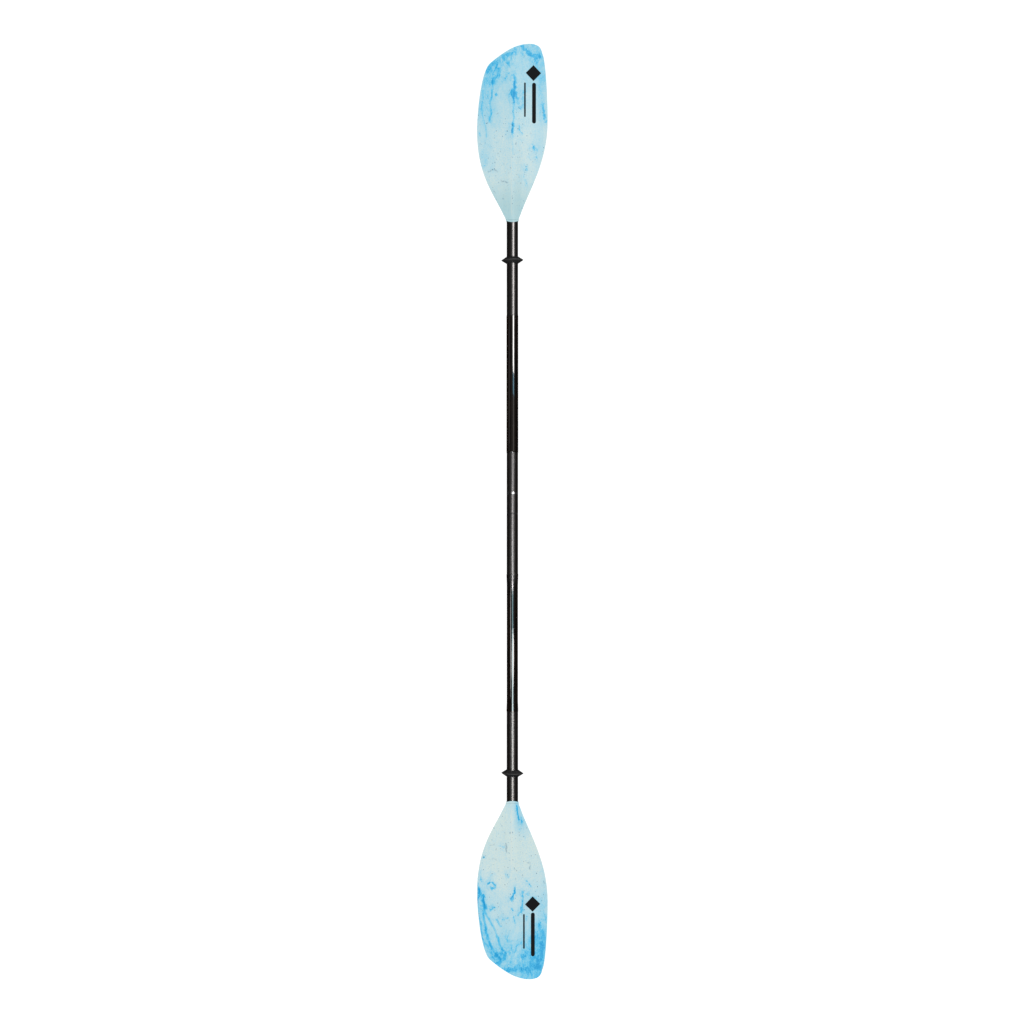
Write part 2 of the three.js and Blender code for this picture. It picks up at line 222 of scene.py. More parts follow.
def tube_material():
    """Satin black anodised tube, with faint draw lines along it and a few handling scuffs."""
    m = Maker("satin_black_tube")
    lines = m.noise(1, 4, 0.6, m.stretched((14, 900, 900)))
    grain = m.noise(1400, 2, 0.6)
    cloud = m.noise(9, 4, 0.55)
    scuff_flow = m.noise(1, 5, 0.65, m.stretched((70, 500, 500)), distortion=0.8)
    scuff = m.math("MULTIPLY", m.spread(scuff_flow, 0.68, 0.8), m.spread(cloud, 0.45, 0.6))
    worn = m.math("MAXIMUM", m.math("MULTIPLY", m.attribute("wear"), 0.8), scuff, clamp=True)
    black = m.mix(m.spread(cloud, 0.3, 0.7), (0.0058, 0.0042, 0.0034, 1), (0.0088, 0.0066, 0.0052, 1))
    m.set(
        Base_Color=m.mix(m.math("MULTIPLY", worn, 0.5), black, (0.07, 0.07, 0.072, 1)),
        Roughness=m.math("ADD", m.spread(lines, 0.3, 0.7, 0.27, 0.31), m.math("MULTIPLY", worn, 0.1)),
        Specular_IOR_Level=1.0,
        Specular_Tint=(1, 0.955, 0.93, 1),
        Normal=m.bump(lines, 0.00001, 0.25, m.bump(grain, 0.00002, 0.25)),
    )
    return m.material


def grip_material():
    """Gloss black shrink sleeve, not quite flat over the tube, with hairline marks."""
    m = Maker("gloss_black_sleeve")
    ripple = m.noise(1, 2, 0.4, m.stretched((40, 90, 90)))
    hair = m.noise(1, 3, 0.6, m.stretched((60, 1600, 1600)), distortion=0.4)
    smear = m.noise(16, 5, 0.6)
    wear = m.attribute("wear")
    cloud = m.noise(1, 4, 0.6, m.stretched((14, 70, 70)))
    scratched = m.math("MULTIPLY", m.spread(hair, 0.66, 0.75), 0.1)
    dull = m.math("ADD", scratched, m.math("MULTIPLY", wear, 0.4))
    black = m.mix(m.spread(cloud, 0.35, 0.65), (0.0032, 0.0024, 0.002, 1), (0.0088, 0.0056, 0.004, 1))
    m.set(
        Base_Color=m.mix(m.math("MULTIPLY", wear, 0.15), black, (0.05, 0.05, 0.052, 1)),
        Roughness=m.math("ADD", m.spread(smear, 0.35, 0.7, 0.03, 0.065), dull),
        Specular_IOR_Level=1.0,
        Specular_Tint=(1, 0.985, 0.965, 1),
        Normal=m.bump(ripple, 0.00025, 0.3),
    )
    return m.material


def rubber_material(name, dust):
    """Matte moulded rubber with a fine grain, and pale dust on its edges."""
    m = Maker(name)
    grain = m.noise(2200, 3, 0.6)
    pits = m.noise(480, 4, 0.6)
    patch = m.noise(70, 4, 0.6)
    worn = m.math("MULTIPLY", m.attribute("wear"), m.spread(patch, 0.35, 0.65, 0.2, 1.0))
    dusty = m.math("ADD", m.math("MULTIPLY", m.spread(patch, 0.5, 0.75), 0.25), worn, clamp=True)
    m.set(
        Base_Color=m.mix(
            m.math("MULTIPLY", dusty, dust), (0.0085, 0.0085, 0.0085, 1), (0.09, 0.085, 0.08, 1)
        ),
        Roughness=m.spread(pits, 0.3, 0.7, 0.5, 0.68),
        Normal=m.bump(pits, 0.00012, 0.5, m.bump(grain, 0.00004, 0.5)),
    )
    return m.material


def steel_material():
    """Bright stainless steel, brushed, duller where it rubs."""
    m = Maker("bright_steel")
    brushed = m.noise(1, 4, 0.65, m.stretched((220, 2600, 700)))
    cloud = m.noise(300, 4, 0.6)
    m.set(
        Base_Color=m.ramp(cloud, [(0.3, (0.86, 0.86, 0.87, 1)), (0.7, (0.96, 0.96, 0.96, 1))]),
        Metallic=0.45,
        Roughness=m.spread(brushed, 0.3, 0.7, 0.34, 0.46),
        Normal=m.bump(brushed, 0.00002, 0.4),
    )
    return m.material


def ferrule_material():
    """Dark glass-filled plastic: short fibres under a satin skin, with slide marks."""
    m = Maker("dark_ferrule")
    fibres = m.noise(1, 5, 0.7, m.stretched((260, 900, 900)), distortion=1.2)
    cloud = m.noise(40, 4, 0.6)
    slides = m.noise(1, 4, 0.6, m.stretched((8, 700, 700)))
    rubbed = m.math("MULTIPLY", m.spread(slides, 0.56, 0.68), 0.6)
    worn = m.math("ADD", rubbed, m.attribute("wear"), clamp=True)
    dark = m.ramp(fibres, [(0.35, (0.016, 0.017, 0.018, 1)), (0.7, (0.032, 0.033, 0.036, 1))])
    m.set(
        Base_Color=m.mix(m.math("MULTIPLY", worn, 0.5), dark, (0.085, 0.087, 0.09, 1)),
        Roughness=m.spread(cloud, 0.3, 0.7, 0.38, 0.52),
        Normal=m.bump(fibres, 0.00005, 0.5),
    )
    return m.material


def foam_material():
    """Grey closed-cell foam."""
    m = Maker("grey_foam")
    cells = m.add("TexVoronoi", {"Vector": m.coords, "Scale": 900.0}).outputs["Distance"]
    patch = m.noise(120, 4, 0.6)
    m.set(
        Base_Color=m.mix(m.spread(cells, 0.1, 0.6), (0.03, 0.032, 0.036, 1), (0.09, 0.095, 0.1, 1)),
        Roughness=m.spread(patch, 0.3, 0.7, 0.8, 0.95),
        Normal=m.bump(cells, 0.0004, 0.7),
    )
    return m.material


def bar(m, centre, half, radius):
    """Distance outside a rounded bar laid on the blade's face, in metres."""
    offset = m.vector("SUBTRACT", m.stretched((1, 1, 0)), (centre[0] / 1000, centre[1] / 1000, 0))[0]
    inner = ((half[0] - radius) / 1000, (half[1] - radius) / 1000, 0)
    outside = m.vector("SUBTRACT", m.vector("ABSOLUTE", offset)[0], inner)[0]
    reach = m.vector("LENGTH", m.vector("MAXIMUM", outside)[0])[1]
    return m.math("SUBTRACT", reach, radius / 1000)


def diamond(m, centre, half):
    """Distance outside a diamond laid on the blade's face, in metres."""
    offset = m.vector("SUBTRACT", m.stretched((1, 1, 0)), (centre[0] / 1000, centre[1] / 1000, 0))[0]
    reach = m.vector("DOT_PRODUCT", m.vector("ABSOLUTE", offset)[0], (1, 1, 0))[1]
    return m.math("MULTIPLY", m.math("SUBTRACT", reach, half / 1000), math.sqrt(0.5))


def band(m, value, middle, half):
    """1 where the value is at the middle, falling to 0 at half away on either side."""
    away = m.math("ABSOLUTE", m.math("SUBTRACT", value, middle))
    return m.spread(away, 0.0, half, 1.0, 0.0, smooth=True)


def marbled(m, flow, feather, blotch, fine):
    """The plastic's colour, from how much blue is stirred into it at each place."""
    cloud = m.spread(m.noise(1, 5, 0.6, m.stretched((13, 28, 28), flow)), 0.32, 0.68, -1.0, 1.0)
    veins = m.noise(1, 6, 0.6, m.stretched((20, 62, 62), flow), distortion=0.6)
    threads = m.noise(1, 5, 0.65, m.stretched((45, 110, 110), flow), distortion=1.0)
    blue, tone, streak = m.attribute("blue"), m.attribute("tone"), m.attribute("streak")

    torn = m.math("ADD", blue, m.math("MULTIPLY", feather, 0.45))
    core = m.math(
        "MULTIPLY", m.spread(torn, 0.2, 0.9, smooth=True), m.spread(blue, 0.02, 0.3, smooth=True)
    )
    wash = m.math("MULTIPLY", m.attribute("wash"), m.spread(feather, -0.8, 0.8, 0.3, 1.0))
    bluish = m.math("MAXIMUM", m.spread(wash, 0.05, 0.5), m.spread(tone, 0.25, 0.6, 0.0, 0.7))
    thread = m.math("MULTIPLY", band(m, threads, 0.5, 0.035), bluish)
    vein = m.math("MULTIPLY", band(m, veins, 0.5, 0.03), m.spread(cloud, -0.2, 0.6))
    grain = m.spread(fine, 0.3, 0.7, -1.0, 1.0)

    # Each layer and how much of it there is. Where the plastic is bluer, lines show less on it.
    layers = [
        (core, m.spread(tone, 0.15, 0.6, 0.46, 0.2)),
        (wash, m.spread(tone, 0.15, 0.6, 0.18, 0.07)),
        (thread, 0.24),
        (streak, m.spread(blotch, -1.0, 1.0, 0.24, 0.46)),
        (cloud, 0.06),
        (blotch, m.spread(tone, 0.2, 0.55, 0.03, 0.14)),
        (vein, 0.08),
    ]
    depth = tone
    for layer, amount in layers:
        depth = m.math("ADD", depth, m.math("MULTIPLY", layer, amount))
    grain = m.math("MULTIPLY", grain, m.spread(tone, 0.1, 0.3, 0.21, 0.11))
    depth = m.math("ADD", depth, grain, clamp=True)
    plastic = m.ramp(depth, [
        (0.0, srgb(208, 226, 222)), (0.12, srgb(198, 222, 225)), (0.25, srgb(184, 218, 227)),
        (0.45, srgb(153, 209, 229)), (0.65, srgb(106, 197, 231)), (0.85, srgb(54, 180, 228)),
        (1.0, srgb(0, 155, 212)),
    ])
    return m.mix(m.attribute("grey"), plastic, srgb(170, 203, 205))


def speckled(m, flow, feather):
    """How dark each place is with unmixed pigment, as small dots and broken flecks."""
    cells = m.add("TexVoronoi", {"Vector": m.stretched((150, 240, 240), flow), "Scale": 1.0}).outputs
    pick = m.vector("DOT_PRODUCT", cells["Color"], (1, 0, 0))[1]
    dot_size = m.spread(pick, 0.45, 1.0, 0.0, 0.28)
    dots = m.spread(m.math("SUBTRACT", cells["Distance"], dot_size), -0.08, 0.0, 1.0, 0.0)
    dots = m.math("MULTIPLY", dots, m.spread(dot_size, 0.0, 0.06))
    dots = m.math("MULTIPLY", dots, m.attribute("specks"))
    flecks = m.math("MULTIPLY", m.attribute("dark"), m.spread(feather, -0.5, 0.4, 0.0, 1.0))
    return m.math("MAXIMUM", dots, flecks, clamp=True)


def printed(m, marks):
    """1 where the blade's front is printed with a plain diamond and two bars."""
    outside = diamond(m, *marks["diamond"])
    for line in marks["bars"]:
        outside = m.math("MINIMUM", outside, bar(m, *line))
    return m.math("MULTIPLY", m.spread(outside, -0.0002, 0.0002, 1.0, 0.0), m.attribute("front"))


def blade_material(name, marks):
    """Satin marbled plastic: pale aqua with blue swirls, dark specks, scuffed edges that also carry a
    painted pale highlight, a painted highlight along the ridge, painted shade in the collar's groove, and
    plain marks.
    """
    m = Maker(name)
    wander = m.vector("SUBTRACT", m.noise(15, 4, 0.55, colour=True), (0.5, 0.5, 0.5))[0]
    flow = m.vector("ADD", m.coords, m.stretched((0.06, 0.035, 0.03), wander))[0]
    feather = m.noise(1, 8, 0.72, m.stretched((70, 170, 170), flow), distortion=0.6)
    feather = m.spread(feather, 0.3, 0.7, -1.0, 1.0)
    blotch = m.noise(1, 7, 0.68, m.stretched((55, 105, 105), flow), distortion=0.4)
    blotch = m.spread(blotch, 0.34, 0.66, -1.0, 1.0)
    fine = m.noise(330, 4, 0.7)

    plastic = marbled(m, flow, feather, blotch, fine)
    dark = m.math("MULTIPLY", speckled(m, flow, feather), 0.85)
    # Scuffs on the rim, which also paint a pale highlight along the blade's edge.
    scuffed_and_edge_highlight = m.math("MULTIPLY", m.attribute("wear"), m.spread(blotch, -0.6, 0.6, 0.15, 0.75))
    # Painted highlight: a pale line down the ridge of the front face.
    ridge_highlight = m.math("MULTIPLY", m.attribute("ridge_highlight"), 0.3)
    # Painted shade: a dark line along the collar's groove.
    groove_shade = m.math("MULTIPLY", m.attribute("groove_shade"), 0.45)
    plastic = m.mix(dark, plastic, srgb(38, 108, 142))
    plastic = m.mix(scuffed_and_edge_highlight, plastic, srgb(226, 224, 212))
    plastic = m.mix(ridge_highlight, plastic, srgb(222, 224, 214))
    plastic = m.mix(groove_shade, plastic, srgb(96, 128, 132))

    ink = printed(m, marks)
    worn_ink = m.math("MULTIPLY", ink, m.spread(fine, 0.22, 0.34, 0.93, 1.0))
    satin = m.spread(m.noise(60, 5, 0.6), 0.3, 0.7, 0.5, 0.6)
    peel = m.math("SUBTRACT", m.noise(950, 3, 0.5), m.math("MULTIPLY", ink, 0.3))
    sink = m.bump(m.noise(26, 3, 0.5), 0.0006, 0.35)
    m.set(
        Base_Color=m.mix(worn_ink, plastic, (0.008, 0.009, 0.01, 1)),
        Roughness=m.blend(ink, m.math("ADD", satin, m.math("MULTIPLY", scuffed_and_edge_highlight, 0.1)), 0.7),
        Specular_IOR_Level=m.blend(ink, 0.16, 0.03),
        Normal=m.bump(peel, 0.00005, 0.3, sink),
    )
    return m.material


# --- shapes -----------------------------------------------------------------------------------


def rounded(corners, steps=5):
    """A closed outline of (x, y, fillet) corners, as rows of x, y and wear. Fillets are worn."""
    rows = []
    count = len(corners)
    for i, (x, y, fillet) in enumerate(corners):
        here = np.array([x, y], float)
        if fillet == 0:
            rows.append((x, y, 0.0))
            continue
        before = np.array(corners[i - 1][:2], float) - here
        after = np.array(corners[(i + 1) % count][:2], float) - here
        reach = min(fillet, 0.45 * np.linalg.norm(before), 0.45 * np.linalg.norm(after))
        a = here + before / np.linalg.norm(before) * reach
        b = here + after / np.linalg.norm(after) * reach
        for k in range(steps + 1):
            t = k / steps
            p = (1 - t) ** 2 * a + 2 * t * (1 - t) * here + t * t * b
            rows.append((p[0], p[1], math.sin(math.pi * t)))
    return rows


def turned(rows, sides=SIDES, closed=True):
    """Turns rows of x, radius and wear about the X axis. Returns points, faces and wear."""
    points, wear, rings = [], [], []
    angles = np.arange(sides) * 2 * math.pi / sides
    for x, radius, worn in rows:
        start = len(points)
        if radius < 1e-6:
            points.append((x, 0, 0))
            wear.append(worn)
            rings.append([start] * sides)
            continue
        points += [(x, radius * math.cos(a), radius * math.sin(a)) for a in angles]
        wear += [worn] * sides
        rings.append(list(range(start, start + sides)))
    faces = []
    pairs = list(zip(rings, rings[1:])) + ([(rings[-1], rings[0])] if closed else [])
    for low, high in pairs:
        for k in range(sides):
            n = (k + 1) % sides
            face = [low[k], high[k], high[n], low[n]]
            face = [v for i, v in enumerate(face) if v != face[i - 1]]
            if len(face) >= 3:
                faces.append(face)
    return np.array(points, float), faces, {"wear": np.array(wear, float)}


def outward(mesh):
    """Turns all faces to point out of a closed mesh."""
    corners = np.array([v.co for v in mesh.vertices])
    mesh.calc_loop_triangles()
    tris = np.array([t.vertices for t in mesh.loop_triangles])
    a, b, c = corners[tris[:, 0]], corners[tris[:, 1]], corners[tris[:, 2]]
    if np.einsum("ij,ij->", a, np.cross(b, c)) < 0:
        mesh.flip_normals()


def as_mesh(name, shape):
    points, faces, values = shape
    mesh = bpy.data.meshes.new(name)
    mesh.from_pydata((points / 1000).tolist(), [], faces)
    for key, data in values.items():
        mesh.attributes.new(key, "FLOAT", "POINT").data.foreach_set("value", data.astype(np.float32))
    outward(mesh)
    return mesh


def smooth(mesh, angle):
    mesh.shade_smooth()
    mesh.set_sharp_from_angle(angle=math.radians(angle))


def raised(shape):
    """Lifts a shape made about the origin to the shaft axis."""
    points, faces, values = shape
    return points + (0, 0, AXIS_HEIGHT), faces, values


def piece(node, body, shape, material, angle=35, blend=None, cutters=()):
    """A finished piece that stands for a CAD node."""
    name = node + "_finished"
    ob = bpy.data.objects.new(name, as_mesh(name, shape))
    bpy.context.scene.collection.objects.link(ob)
    if cutters:
        cut(ob, cutters)
    smooth(ob.data, angle)
    ob.data.materials.clear()
    ob.data.materials.append(material)
    if blend is None:
        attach(ob, body)
    else:
        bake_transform(ob)
    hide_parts(node)
    return ob


def cut(ob, cutters):
    """Cuts the shapes out of the object and keeps the result as its mesh."""
    tools = []
    for i, shape in enumerate(cutters):
        tool = bpy.data.objects.new(f"cutter_{i}", as_mesh(f"cutter_{i}", shape))
        bpy.context.scene.collection.objects.link(tool)
        modifier = ob.modifiers.new(f"cut_{i}", "BOOLEAN")
        modifier.operation, modifier.solver, modifier.object = "DIFFERENCE", "EXACT", tool
        tools.append(tool)
    graph = bpy.context.evaluated_depsgraph_get()
    result = bpy.data.meshes.new_from_object(ob.evaluated_get(graph), depsgraph=graph)
    ob.modifiers.clear()
    ob.data = result
    for tool in tools:
        bpy.data.objects.remove(tool)


def stood(shape, x, turn):
    """Turns a shape made about X so that it points out of the shaft at x, turned about the axis."""
    points, faces, values = shape
    along, across, up = points.T
    placed = np.stack([x - up, across, along], axis=1)
    y = placed[:, 1] * math.cos(turn) - placed[:, 2] * math.sin(turn)
    z = placed[:, 1] * math.sin(turn) + placed[:, 2] * math.cos(turn)
    return raised((np.stack([placed[:, 0], y, z], axis=1), faces, values))


def hole(radius, turn):
    """A cutter for one button hole, from inside the bore to outside the tube."""
    start, end = 2, 24
    rows = [(start, 0, 0), (start, radius, 0), (end, radius, 0), (end, 0, 0)]
    return stood(turned(rows, HOLE_SIDES, closed=False), BUTTON_X, turn)


def tube_rows(from_x, to_x, bore, radius, stations=(), fillet=0.3):
    """A tube with rounded ends. A row just behind each keeps its rounding out of the rest's shading."""
    behind = min(1, (to_x - from_x) / 3)
    stations = [from_x + behind, *stations, to_x - behind]
    outside = [(x, radius, 0) for x in stations]
    inside = [(x, bore, 0) for x in reversed(stations)]
    return rounded([
        (from_x, bore, fillet), (from_x, radius, fillet), *outside,
        (to_x, radius, fillet), (to_x, bore, fillet), *inside,
    ])


def pressed(shape):
    """Presses the lower tube or its grip oval between the ends of the grip."""
    points, faces, values = shape
    from_seam = SEAM_X - points[:, 0]
    oval = smoothstep(from_seam, GRIP_FROM, GRIP_FROM + OVAL_BLEND)
    oval = oval * (1 - smoothstep(from_seam, GRIP_TO - OVAL_BLEND, GRIP_TO))
    points[:, 1] *= 1 - OVAL * oval
    points[:, 2] *= 1 + OVAL * oval
    return points, faces, values


def sleeve_rows(first, last, rubbed=0.0):
    """A shrunk sleeve: thin rolled ends, and a wall a little fuller just behind them.

    rubbed is how worn it is at its last end, which fades along the sleeve.
    """
    wall, end, fade = GRIP_WALL_RADIUS, 12, 70
    middle = np.linspace(first + end, last - end, 40)
    lip = [(0, 14.12, 1), (0.25, 14.3, 1), (0.8, 14.42, 0.3)]
    lip += [(2.2, GRIP_FULLEST, 0), (3, GRIP_FULLEST, 0), (end, wall, 0)]
    rows = [(first + x, r, w) for x, r, w in lip]
    rows += [(x, wall, rubbed * max(0, 1 - (last - x) / fade)) for x in middle[1:-1]]
    rows += [(last - x, r, max(w, rubbed)) for x, r, w in reversed(lip)]
    rows += [(last, GRIP_BORE, 0)]
    rows += [(x, GRIP_BORE, 0) for x in middle[::-1]]
    return rows + [(first, GRIP_BORE, 0)]


def drip_rows():
    """Two cones back to back, with a thin rounded rim and a round-edged hub."""
    foot, top = (7.88, 15.6), (0.72, 26.4)
    flank = []
    for t in np.linspace(0, 1, 14):
        flank.append((foot[0] + (top[0] - foot[0]) * t, foot[1] + (top[1] - foot[1]) * t, 0.9 * t ** 6))
    edge = [(0.62, 26.7, 1), (0.4, 26.9, 1)]
    hub = [(7.4, 14.35, 0), (7.8, 14.5, 0.5), (8, 14.9, 1), (8, 15.25, 1)]
    half = hub + flank + edge
    other = [(-x, r, w) for x, r, w in reversed(half)]
    bore = [(-1.2, DRIP_BORE, 0), (1.2, DRIP_BORE, 0)]
    return half + [(0, DRIP_RADIUS, 1)] + other + bore


def tilted(shape, tilt, x):
    """Leans a ring a little towards one side, and puts it on the shaft at x."""
    points, faces, values = shape
    along, across, up = points.T
    c, s = math.cos(tilt), math.sin(tilt)
    moved = np.stack([along * c - across * s, along * s + across * c, up], axis=1)
    return raised((moved + (x, 0, 0), faces, values))


def cap_rows(bore, flange_radius, plug):
    """A cap pushed into a tube's end: a hollow plug, and a flange that covers the end."""
    plug_radius = bore - FIT_GAP
    near, far = FIT_GAP, FIT_GAP + CAP_FLANGE
    outline = rounded([
        (near, plug_radius - CAP_WALL, 0.4), (-plug, plug_radius - CAP_WALL, 0.3),
        (-plug, plug_radius, 0.5), (near, plug_radius, 0.1),
        (near, flange_radius, 0.2), (far, flange_radius, 0.7),
    ])
    return [(near, 0, 0)] + outline + [(far, flange_radius * 0.5, 0), (far, 0, 0)]


def facing(shape, side, x):
    """Turns a shape to face along the shaft, to the side 1 or -1, and puts it at x."""
    points, faces, values = shape
    return raised((points * (side, 1, 1) + (x, 0, 0), faces, values))


def foam_rows():
    """A cut plug of foam, its middle a little fuller than its ends."""
    end = FOAM_HALF_LENGTH
    side_end = end - 1.5
    side = [
        (x, FOAM_RADIUS - 0.12 * (x / side_end) ** 2, 0) for x in np.linspace(-side_end, side_end, 16)
    ]
    ends = [(-end, 0, 0), (-end, 6, 0), (-end, 11.8, 0), (0.2 - end, 12.3, 0.5)]
    return ends + side + [(-x, r, w) for x, r, w in reversed(ends)]


def button_rows():
    """A pressed thimble with an oval dome and a flange that keeps it in the ferrule."""
    shoulder = BUTTON_TOP - BUTTON_DOME
    dome = [
        (shoulder + BUTTON_DOME * math.sin(a), BUTTON_RADIUS * math.cos(a), 0.3)
        for a in np.linspace(0, math.pi / 2, 16)[:-1]
    ]
    inside = [
        (shoulder, 0, 0), (shoulder, 2.6, 0), (14.2, 3.0, 0), (13.9, 3.1, 0),
        (9, 3.1, 0), (8.6, 3.4, 0),
    ]
    flange = [
        (8.6, 5.3, 0), (8.7, 5.4, 0), (9.1, 5.4, 0), (9.2, 5.3, 0),
        (9.2, 4.4, 0), (9.4, 4.05, 0), (9.8, BUTTON_RADIUS, 0),
    ]
    return inside + flange + dome + [(BUTTON_TOP, 0, 0.3)]


def strip(centre, half_width, half_thickness, edge=0.15):
    """A strip of spring steel bent along a line of x, z points, about the button's middle."""
    centre = np.array(centre, float)
    along = np.gradient(centre, axis=0)
    along /= np.linalg.norm(along, axis=1)[:, None]
    normal = np.stack([-along[:, 1], along[:, 0]], axis=1)
    w, t = half_width, half_thickness
    section = [
        (w - edge, t), (w, t - edge), (w, edge - t), (w - edge, -t),
        (edge - w, -t), (-w, edge - t), (-w, t - edge), (edge - w, t),
    ]
    points = [
        (p[0] + n[0] * up, across, p[1] + n[1] * up)
        for p, n in zip(centre, normal) for across, up in section
    ]
    count, faces = len(section), []
    for row in range(len(centre) - 1):
        for k in range(count):
            n = (k + 1) % count
            a, b = row * count, (row + 1) * count
            faces.append([a + k, b + k, b + n, a + n])
    faces.append(list(range(count))[::-1])
    faces.append([len(points) - count + k for k in range(count)])
    return np.array(points, float), faces, {"wear": np.zeros(len(points))}


def spring():
    """The leaf spring: a lying V with a flat under the button."""
    bend = [
        (-LEAF_BEND_BACK + LEAF_BEND_RADIUS * math.cos(a), LEAF_BEND_RADIUS * math.sin(a), 0)
        for a in np.radians(np.linspace(100, 260, 25))
    ]
    top = [(LEAF_REACH, LEAF_TOP, 0), (-LEAF_REACH, LEAF_TOP, 4)]
    foot = [(0, LEAF_FOOT, 4), (LEAF_REACH, LEAF_FOOT, 0)]
    line = [row[:2] for row in rounded(top + bend + foot)]
    points, faces, values = strip(line, LEAF_HALF_WIDTH, LEAF_HALF_THICKNESS)
    x, y, z = points.T
    c, s = math.cos(BUTTON_TURN), math.sin(BUTTON_TURN)
    placed = np.stack([x + BUTTON_X, y * c - z * s, y * s + z * c], axis=1)
    return raised((placed, faces, values))


def spring_point(x, out):
    """A point of the spring, given along the shaft from the button and out from the axis, in metres."""
    y, z = -out * math.sin(BUTTON_TURN), out * math.cos(BUTTON_TURN) + AXIS_HEIGHT
    return ((x + BUTTON_X) / 1000, y / 1000, z / 1000)


# --- blades -----------------------------------------------------------------------------------


def edge_point(edge, at):
    """The point at 0 to 3 along an outline of three Bezier curves."""
    curve = min(2, int(at))
    t = at - curve
    a, b, c, d = (np.array(p, float) for p in edge[curve])
    return (1 - t) ** 3 * a + 3 * t * (1 - t) ** 2 * b + 3 * t * t * (1 - t) * c + t ** 3 * d


def middle_height(s, y):
    """Height of the blade's middle surface above the shaft axis: spooned, with drooping edges."""
    dip = SPINE_DIP * smoothstep(s, NECK_END, SPINE_DIP_AT)
    beyond = np.maximum(0, (s - TIP_RISE_FROM) / (BLADE_LENGTH - TIP_RISE_FROM))
    fade = 1 - EDGE_DROP_FADE * smoothstep(s, TIP_RISE_FROM, BLADE_LENGTH)
    drop = EDGE_DROP * smoothstep(s, 0, EDGE_DROP_AT) * fade
    rounding = RIDGE_ROUNDING
    reach = (np.hypot(np.abs(y) / HALF_WIDTH, rounding) - rounding) / (math.hypot(1, rounding) - rounding)
    return TIP_RISE * beyond ** 2 - dip - drop * np.sin(np.minimum(1, reach) * math.pi / 2)


def half_thickness(s, y, rib_fade):
    rib = (COLLAR_RADIUS - PLATE_HALF) * (1 - smoothstep(s, NECK_END, NECK_END + rib_fade))
    near, far = RIB_HALF_WIDTH
    reach = np.minimum(1, np.abs(y) / (near + (far - near) * s / BLADE_LENGTH))
    bump = np.cos(reach * math.pi / 2) ** 2
    blend = smoothstep(s, 0, NECK_BLEND)
    return PLATE_HALF + rib * (1 - blend + blend * bump)


# The collar's band ends in a groove. Both are places along the outline's curves.
GROOVE_FROM, GROOVE_TO = 0.037, 0.045
NECK_THINNING = 0.028


def blade_rows():
    """Places along the outline's curves, closest about the collar's groove."""
    collar = [0, 0.004, 0.014, 0.026, 0.036, 0.0385, 0.041, 0.046, 0.056]
    neck, body, tip = np.linspace(0.066, 1, 130), np.linspace(1, 2, 86), np.linspace(2, 2.99, 60)
    return [*collar, *neck, *body[1:], *tip[1:]]


def blade_ring(at, angles):
    """One closed ring round the blade, with its points' places along and across the blade."""
    short, long = edge_point(SHORT_EDGE, at), edge_point(LONG_EDGE, at)
    across = (1 - np.cos(angles)) / 2
    s = short[0] + (long[0] - short[0]) * across
    y = -short[1] + (long[1] + short[1]) * across
    power = 1 - (1 - EDGE_SQUARENESS) * smoothstep(s, 0, NECK_BLEND)
    front = np.sin(angles) >= 0
    half = half_thickness(s, y, np.where(front, FRONT_RIB_FADE, BACK_RIB_FADE))
    rise = np.sign(np.sin(angles)) * np.abs(np.sin(angles)) ** power * half
    z = np.maximum(-AXIS_HEIGHT, middle_height(s, y) + rise)
    tongue = COLLAR_TONGUE * np.cos(angles) ** 2 * np.maximum(0, 1 - s / COLLAR_TONGUE_FADE)
    thin = 1 - NECK_THINNING * (at > GROOVE_FROM) * (1 - smoothstep(s, 6, 26))
    return np.stack([COLLAR_X + s + tongue, -y * thin, z * thin], axis=1), s, y


def near_line(s, y, line):
    """Distance from points to a line of (s, y) corners."""
    best = np.full(s.shape, 1e9)
    pairs = list(zip(line, line[1:])) or [(line[0], line[0])]
    for (s0, y0), (s1, y1) in pairs:
        ds, dy = s1 - s0, y1 - y0
        t = np.clip(((s - s0) * ds + (y - y0) * dy) / max(ds * ds + dy * dy, 1e-9), 0, 1)
        best = np.minimum(best, np.hypot(s - s0 - t * ds, y - y0 - t * dy))
    return best


def value_noise(x, y, size, seed):
    """Smooth noise from -1 to 1 on a plane, with features of the given size."""
    table = np.random.default_rng(seed).uniform(-1, 1, (64, 64))
    u, v = x / size, y / size
    i, j = np.floor(u).astype(int), np.floor(v).astype(int)
    a, b = smoothstep(u - i, 0, 1), smoothstep(v - j, 0, 1)
    i0, i1, j0, j1 = i % 64, (i + 1) % 64, j % 64, (j + 1) % 64
    low = table[i0, j0] * (1 - a) + table[i1, j0] * a
    high = table[i0, j1] * (1 - a) + table[i1, j1] * a
    return low * (1 - b) + high * b


def stirred(s, y, seed, tearing):
    """Moves points about as stirring does, so that drawn lines come out ragged."""
    ds, dy = np.zeros(s.shape), np.zeros(s.shape)
    for k, (size, reach) in enumerate([(26, 4.0), (11, 2.6), (5, 1.8)]):
        reach = reach * tearing * (0.3 + 0.7 * smoothstep(s, 40, 140))
        ds += reach * value_noise(s, y, size, seed + 2 * k)
        dy += reach * value_noise(s, y, size, seed + 2 * k + 1)
    return s + ds, y + dy


def laid(s, y, swirls, seed, tearing=1.0):
    """How strongly the swirls colour each point, from 0 to 1, as a torn line and a pale wash beside it.

    A swirl is a width, a strength and a line. tearing is how ragged it is.
    """
    s, y = stirred(s, y, seed, tearing)
    patchy = 0.5 * value_noise(s, y, 8, seed + 20) + 0.4 * value_noise(s, y, 3.5, seed + 21)
    patchy = np.clip(patchy, -0.7, 1) * tearing
    bare, unwashed = np.ones(s.shape), np.ones(s.shape)
    for width, strength, *line in swirls:
        reach = near_line(s, y, line) / (width * (1 + patchy * min(1, width / 6)))
        beside = near_line(s + 0.5 * width, y + 0.9 * width, line) / (2.3 * width)
        bare *= 1 - strength * np.exp(-np.abs(reach) ** 3)
        unwashed *= 1 - strength * np.exp(-beside ** 2)
    return 1 - bare, 1 - unwashed


